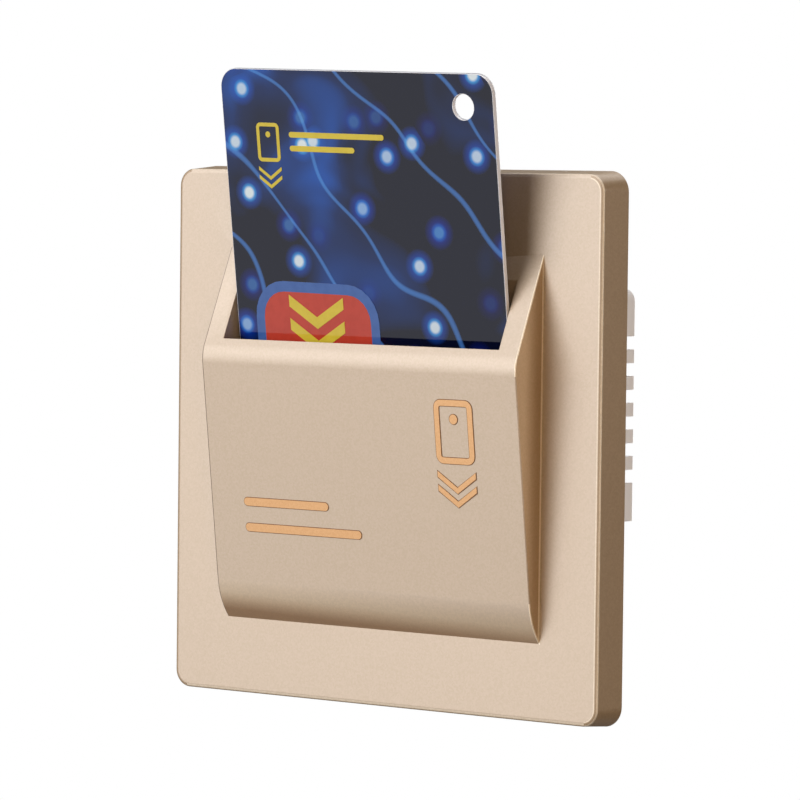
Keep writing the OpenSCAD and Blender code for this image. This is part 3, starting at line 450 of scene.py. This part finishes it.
# Where the pocket's side edges start, measured from the middle
pocket_corners = [v.co for v in nodes["front_cover"].data.vertices if v.co.y < PLATE_FACE - 1 * MM]
pocket_side = max(corner.x for corner in pocket_corners) - 0.05 * MM


def on_rim(place):
    """Whether a place is on the front edge of the plate."""
    return place.y < PLATE_FACE + 1 * MM and max(abs(place.x), abs(place.z)) > PLATE_EDGE


def on_front_rim(place):
    """Whether a place is where the plate's face meets its bevel."""
    return on_rim(place) and place.y < PLATE_FACE + 0.05 * MM


def on_pocket(place):
    """Whether a place is on the pocket, clear of the plate and of the chin's foot."""
    return place.y < PLATE_FACE - 0.05 * MM and not on_rim(place) and place.z > CHIN_FOOT + 0.3 * MM


def on_right_wall(face):
    """Whether a face is the pocket's right side wall."""
    return face.material_index == WALL and face.normal.x > 0


def main_finish(face):
    """The finish of a face before the edges are rounded: painted shade on the plate's sides, the pocket's side
    walls and its chin.
    """
    middle = face.calc_center_median()
    if abs(face.normal.y) < 0.3 and max(abs(middle.x), abs(middle.z)) > PLATE_EDGE:
        return SIDE_SHADE
    if abs(face.normal.x) > 0.9 and middle.y < PLATE_FACE and abs(middle.x) > POCKET_WALL:
        return WALL
    if face.normal.y < -0.7 and face.normal.z < -0.14 and CHIN_FOOT < middle.z < CHIN_TOP:
        return CHIN
    return FULL


def rim_finish(face):
    """The finish of a face on the plate's front edge, a painted highlight or painted shade. Any other face keeps
    its own.
    """
    middle = face.calc_center_median()
    if face.normal.y >= -0.1 or not on_rim(middle):
        return face.material_index
    bevel = -0.975 < face.normal.y < -0.965
    outer = middle.y > PLATE_FACE + 0.07 * MM and not bevel
    if middle.x > PLATE_EDGE:
        return SIDE_SHADE if bevel else EDGE_HIGHLIGHT
    if middle.x < -PLATE_EDGE:
        return SIDE_SHADE if bevel or outer else FULL
    if middle.z > 0:
        return EDGE_HIGHLIGHT if outer else FULL
    if bevel:
        return EDGE_HIGHLIGHT
    return SIDE_SHADE if outer else FULL


def upright_finish(face):
    """Full lacquer on the upright part of the pocket's highlighted right edges. Any other face keeps its own."""
    upright = CHIN_TOP < face.calc_center_median().z < LIP_FOOT
    return FULL if face.material_index == STRONG_HIGHLIGHT and upright else face.material_index


def crease_finish(face):
    """The strong painted highlight where the pocket's right wall meets the plate. Any other face keeps its own."""
    behind = face.calc_center_median().y > CREASE_FRONT
    return STRONG_HIGHLIGHT if on_right_wall(face) and behind else face.material_index


cover = open_copy(
    "front_cover", "cover_moulding",
    [lacquer, lacquer_with_edge_highlight, lacquer_in_edge_shade, lacquer_in_side_shade, lacquer_in_wall_shade, lacquer_with_chin_shade(), lacquer_with_strong_highlight])
set_finish(cover, main_finish)
round_edges(cover, width=0.18 * MM, wanted=on_rim, steps=2)
round_edges(cover, width=0.1 * MM, wanted=on_front_rim, steps=2, least=9)
set_finish(cover, rim_finish)
# Parts of the pocket's right edges in the strong painted highlight
round_edges(cover, width=0.18 * MM,
            wanted=lambda middle: on_pocket(middle) and middle.x > pocket_side, finish=STRONG_HIGHLIGHT)
set_finish(cover, upright_finish)
# The pocket's left edges in painted shade, a fine brown line
round_edges(cover, width=0.3 * MM,
            wanted=lambda middle: on_pocket(middle) and middle.x < -pocket_side, finish=EDGE_SHADE)
inner_side = pocket_side - 0.5 * MM
round_edges(cover, width=0.12 * MM,
            wanted=lambda middle: on_pocket(middle) and abs(middle.x) < inner_side)
# A painted highlight: a fine pale line where the pocket's right wall meets the plate
bpy.ops.mesh.select_mode(type="FACE")
bpy.ops.mesh.select_all(action="DESELECT")
mesh = bmesh.from_edit_mesh(cover.data)
for face in mesh.faces:
    face.select_set(on_right_wall(face))
bmesh.update_edit_mesh(cover.data)
bpy.ops.mesh.bisect(plane_co=(0, CREASE_FRONT, 0), plane_no=(0, 1, 0))
set_finish(cover, crease_finish)
close_copy(cover, "front_cover", "base")

card = open_copy("key_card", "printed_card", [card_pvc, print_face])
round_edges(card, 0.1 * MM, steps=2)
close_copy(card, "key_card", "card")
# Both large faces carry the print, and the core shows at the edges.
printed = card.data.materials.find(print_face.name)
for face in card.data.polygons:
    if abs(face.normal.dot(card_front)) > 0.99:
        face.material_index = printed

# The mouldings whose edges show, with the radius in millimetres that their moulds leave
for name, piece_name, width, material, slot in (
        ("rear_housing", "wall_case", 0.25, case_abs, "case_plastic"),
        ("terminal_block", "terminal_moulding", 0.2, terminal_polyamide, "terminal_plastic"),
        ("relay", "relay_can", 0.5, relay_pbt, "relay_case"),
        ("film_capacitor", "film_box", 0.4, film_pbt, "film_case"),
        ("switch_body", "switch_case", 0.2, switch_phenolic, "switch_case")):
    piece = open_copy(name, piece_name, [material])
    round_edges(piece, width * MM)
    close_copy(piece, name, "base")

for name, material in (
        ("housing_lid", case_abs), ("lid_screws", steel), ("circuit_board", laminate),
        ("board_screws", steel), ("smoothing_capacitor", can_pet), ("varistor", varistor_epoxy),
        ("fuse", fuse_ceramic), ("rectifier_diodes", chip_epoxy), ("resistors", resistor_lacquer),
        ("controller_chip", chip_epoxy), ("switch_plunger", plunger_acetal), ("card_lever", lever_acetal),
        ("lever_pin", steel), ("terminal_cages", brass), ("terminal_screws", steel)):
    nodes[name].material_slots[0].material = material


# Printed marks

# How far a coat of ink stands out of its face, and how far the lowest one reaches in
INK_HIGH = 0.05 * MM
INK_SINK = 0.02 * MM


def start_mark(name, wide, high):
    """A flat sheet of ink about its own middle, left open in edit mode."""
    bpy.ops.object.select_all(action="DESELECT")
    bpy.ops.mesh.primitive_plane_add(size=1)
    mark = bpy.context.object
    mark.name = name
    bpy.ops.object.mode_set(mode="EDIT")
    bpy.ops.mesh.select_all(action="SELECT")
    bpy.ops.transform.resize(value=(wide, high, 1))
    return mark


def close_mark(mark, face, x, y, material, coats=1):
    """Gives the ink its thickness and lays it on its face, at x and y from the face's origin."""
    bpy.ops.mesh.select_all(action="SELECT")
    thick = coats * INK_HIGH + INK_SINK
    bpy.ops.mesh.extrude_region_move(TRANSFORM_OT_translate={"value": (0, 0, thick)})
    bpy.ops.mesh.select_all(action="SELECT")
    bpy.ops.mesh.normals_make_consistent(inside=False)
    bpy.ops.object.mode_set(mode="OBJECT")
    mark.data.materials.append(material)
    mark.matrix_world = face @ Matrix.Translation((x, y, -INK_SINK))
    bpy.ops.object.transform_apply(location=True, rotation=True, scale=True)
    return mark


def round_corners(radius):
    """Rounds the corners of the sheet that is open."""
    bpy.ops.mesh.select_all(action="SELECT")
    bpy.ops.mesh.bevel(offset=radius, segments=6, affect="VERTICES")


def bar(name, face, x, y, wide, high, material, coats=1):
    """A bar with round ends; x and y are its middle."""
    mark = start_mark(name, wide, high)
    round_corners(high * 0.49)
    return close_mark(mark, face, x, y, material, coats)


def patch(name, face, x, y, wide, high, radius, material):
    """A full field with round corners."""
    mark = start_mark(name, wide, high)
    round_corners(radius)
    return close_mark(mark, face, x, y, material)


def outline(name, face, x, y, wide, high, radius, stroke, material, coats=1):
    """The outline of a card with round corners."""
    mark = start_mark(name, wide, high)
    round_corners(radius)
    bpy.ops.mesh.select_mode(type="FACE")
    bpy.ops.mesh.select_all(action="SELECT")
    bpy.ops.mesh.inset(thickness=stroke)
    bpy.ops.mesh.delete(type="FACE")
    return close_mark(mark, face, x, y, material, coats)


def chevron_pair(name, face, x, y, wide, stroke, drop, step, material, coats=1):
    """Two strokes bent down at their middle; y is the middle of the first one's upper ends."""
    mark = start_mark(name, wide, stroke)
    bpy.ops.mesh.subdivide(number_cuts=1)
    bpy.ops.mesh.select_mode(type="VERT")
    bpy.ops.mesh.select_all(action="DESELECT")
    mesh = bmesh.from_edit_mesh(mark.data)
    for vert in mesh.verts:
        vert.select_set(abs(vert.co.x) < wide / 8)
    mesh.select_flush_mode()
    bmesh.update_edit_mesh(mark.data)
    bpy.ops.transform.translate(value=(0, -drop, 0))
    upper = close_mark(mark, face, x, y, material, coats)
    bpy.ops.object.duplicate()
    lower = bpy.context.object
    bpy.ops.transform.translate(value=face.to_3x3() @ Vector((0, -step, 0)))
    bpy.ops.object.transform_apply(location=True, rotation=False, scale=False)
    return [upper, lower]


def join_marks(marks, body):
    """Joins marks of one ink to one piece, which takes the first one's name."""
    bpy.ops.object.select_all(action="DESELECT")
    for mark in marks:
        mark.select_set(True)
    bpy.context.view_layer.objects.active = marks[0]
    bpy.ops.object.join()
    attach(marks[0], body)


def insert_sign(name, face, x, top, wide, stroke, material, spread=0, coats=1):
    """The sign for putting a card in: a card's outline with its hole, and two chevrons that point down.

    The spread makes every stroke that much wider to each side."""
    high = wide * 1.36
    corner = wide * 0.18
    across = stroke * 1.6
    arms = top - high - stroke * 1.8
    card_mark = outline(name, face, x, top - high / 2, wide + 2 * spread, high + 2 * spread,
                        corner + spread, stroke + 2 * spread, material, coats)
    hole_mark = bar(name + "_hole", face, x, top - high * 0.3, across + 2 * spread, across + 2 * spread,
                    material, coats)
    arm_marks = chevron_pair(name + "_chevron", face, x, arms, wide + 2 * spread, stroke + 2.4 * spread,
                             wide * 0.34, stroke * 2.3, material, coats)
    return [card_mark, hole_mark] + arm_marks


card_marks = insert_sign("card_sign", card_face, x=-18 * MM, top=77 * MM, wide=4.6 * MM, stroke=0.6 * MM,
                         material=yellow_ink)
for name, x, y, wide in (("card_line_upper", -4.2, 75.2, 19), ("card_line_lower", -7.2, 73, 13)):
    card_marks.append(bar(name, card_face, x * MM, y * MM, wide * MM, high=0.9 * MM, material=yellow_ink))
join_marks(card_marks, "card")

# The tab at the card's foot: a blue rim round a red field with yellow chevrons
tab_x = -10.6 * MM
tab_y = 41.5 * MM
tab_rim = outline("card_tab_rim", card_face, tab_x, tab_y, wide=25 * MM, high=20 * MM, radius=6 * MM,
                  stroke=1.7 * MM, material=blue_ink)
join_marks([tab_rim], "card")
tab_field = patch("card_tab_field", card_face, tab_x, tab_y, wide=21.6 * MM, high=16.6 * MM,
                  radius=4.3 * MM, material=red_ink)
join_marks([tab_field], "card")
tab_chevrons = chevron_pair("card_tab_chevrons", card_face, tab_x, 48.4 * MM, wide=11 * MM, stroke=1.9 * MM,
                            drop=3.4 * MM, step=3.8 * MM, material=yellow_ink, coats=2)
join_marks(tab_chevrons, "card")

# The pocket's copper marks lie on a brown print that shows as a fine line round each of them.
for tag, material, spread, coats in (
        ("pocket_sign", copper, 0, 2),
        ("pocket_sign_rim", brown_ink, 0.11 * MM, 1)):
    pocket_marks = insert_sign(tag, pocket_face, x=19 * MM, top=7.3 * MM, wide=7.4 * MM, stroke=0.95 * MM,
                               material=material, spread=spread, coats=coats)
    for name, x, y, wide in (("_line_upper", -15.8, -11, 17.3), ("_line_lower", -12.6, -15.2, 23.7)):
        pocket_marks.append(bar(tag + name, pocket_face, x * MM, y * MM, wide * MM + 2 * spread,
                                1.3 * MM + 2 * spread, material, coats))
    join_marks(pocket_marks, "base")


# Stage, light and camera

def turn_to(azimuth, elevation, reach):
    """A place at that reach from the plate's middle, looking at it. Azimuth 90 is at the right."""
    around = Matrix.Rotation(math.radians(azimuth), 4, "Z")
    tilt = Matrix.Rotation(math.radians(90 - elevation), 4, "X")
    return around @ tilt @ Matrix.Translation((0, 0, reach))


def soft_lamp(name, azimuth, elevation, reach, size, power, tint="#FFFFFF"):
    """A round soft lamp that looks at the plate's middle."""
    lamp = bpy.data.lights.new(name, "AREA")
    lamp.color = linear(tint)[:3]
    lamp.shape = "DISK"
    lamp.size = size
    lamp.energy = power
    holder = bpy.data.objects.new(name, lamp)
    bpy.context.collection.objects.link(holder)
    holder.matrix_world = turn_to(azimuth, elevation, reach)
    holder.visible_camera = False


soft_lamp("key_lamp", azimuth=-26.5, elevation=18, reach=4.0, size=3.7, power=137.0)
soft_lamp("fill_lamp", azimuth=46, elevation=3, reach=1.3, size=0.9, power=4.8, tint="#FFD8A4")
soft_lamp("side_lamp", azimuth=106, elevation=6, reach=1.2, size=0.34, power=4.2, tint="#FFF9F2")
soft_lamp("rear_lamp", azimuth=192, elevation=4, reach=0.9, size=0.7, power=5.0)
soft_lamp("top_lamp", azimuth=180, elevation=62, reach=0.9, size=0.7, power=2.4)

# A dim round screen behind the camera and the object, open on the left where the key lamp stands, as in a
# photo studio: without it the lacquer mirrors white from all sides.
screen_gap = (-80, -2)
screen_radius = 1.45
screen_height = 2.6
bpy.ops.object.select_all(action="DESELECT")
bpy.ops.mesh.primitive_cylinder_add(
    vertices=72, radius=screen_radius, depth=screen_height, end_fill_type="NOTHING")
screen = bpy.context.object
screen.name = "studio_screen"
bpy.ops.object.mode_set(mode="EDIT")
bpy.ops.mesh.select_mode(type="FACE")
bpy.ops.mesh.select_all(action="DESELECT")
mesh = bmesh.from_edit_mesh(screen.data)
for face in mesh.faces:
    middle = face.calc_center_median()
    azimuth = math.degrees(math.atan2(middle.x, -middle.y))
    face.select_set(screen_gap[0] < azimuth < screen_gap[1])
bmesh.update_edit_mesh(screen.data)
bpy.ops.mesh.delete(type="FACE")
bpy.ops.object.mode_set(mode="OBJECT")
# Dark brown wool felt: fully matt, so that it gives the lacquer a dim even mirror image.
felt = start_material("brown_studio_felt", {"Roughness": 1.0, "Base Color": linear("#4C4136")})[0]
screen.data.materials.append(felt)
screen.visible_camera = False

# A pale floor well below the part: matt paint whose glow only the camera sees.
floor_height = -0.9
floor_radius = 1.4
floor_glow = 0.66
bpy.ops.object.select_all(action="DESELECT")
bpy.ops.mesh.primitive_circle_add(
    vertices=96, radius=floor_radius, fill_type="NGON", location=(0, 0, floor_height))
floor = bpy.context.object
floor.name = "pale_floor"
pale, tree, shader = start_material(
    "pale_floor_paint",
    {"Roughness": 0.9, "Base Color": linear("#A4A4A4"), "Emission Color": linear("#FFFFFF")})
path = add(tree, "ShaderNodeLightPath")
glow = add(tree, "ShaderNodeMath", {0: path.outputs["Is Camera Ray"], 1: floor_glow},
           operation="MULTIPLY")
tree.links.new(glow.outputs[0], shader.inputs["Emission Strength"])
floor.data.materials.append(pale)

# A white surrounding for the camera and for mirror images, which adds hardly any light of its own
world = bpy.data.worlds.new("studio")
bpy.context.scene.world = world
world.use_nodes = True
tree = world.node_tree
tree.nodes.clear()
path = add(tree, "ShaderNodeLightPath")
seen = add(tree, "ShaderNodeMath", {0: path.outputs["Is Camera Ray"], 1: path.outputs["Is Glossy Ray"]},
           operation="MAXIMUM")
seen = add(tree, "ShaderNodeMath", {0: seen.outputs[0], 1: path.outputs["Is Transmission Ray"]},
           operation="MAXIMUM")
level = add(tree, "ShaderNodeMapRange", {"Value": seen.outputs[0], "To Min": 0.02, "To Max": 1.0})
sky = add(tree, "ShaderNodeBackground", {"Color": linear("#FFFFFF"), "Strength": level.outputs[0]})
add(tree, "ShaderNodeOutputWorld", {"Surface": sky.outputs[0]})

# The camera as solved from the plate's corners and edges
camera_place = Vector((453.613, -587.142, 44.471)) * MM
camera_azimuth = math.radians(37.752)
camera_elevation = math.radians(2.964)
camera_roll = math.radians(0.652)
camera = bpy.data.cameras.new("camera")
camera.sensor_width = 36
camera.lens = 209.41
holder = bpy.data.objects.new("camera", camera)
bpy.context.collection.objects.link(holder)
holder.matrix_world = (
    Matrix.Translation(camera_place)
    @ Matrix.Rotation(camera_azimuth, 4, "Z")
    @ Matrix.Rotation(math.pi / 2 - camera_elevation, 4, "X")
    @ Matrix.Rotation(camera_roll, 4, "Z")
)
bpy.context.scene.camera = holder
bpy.context.scene.view_settings.view_transform = "Standard"
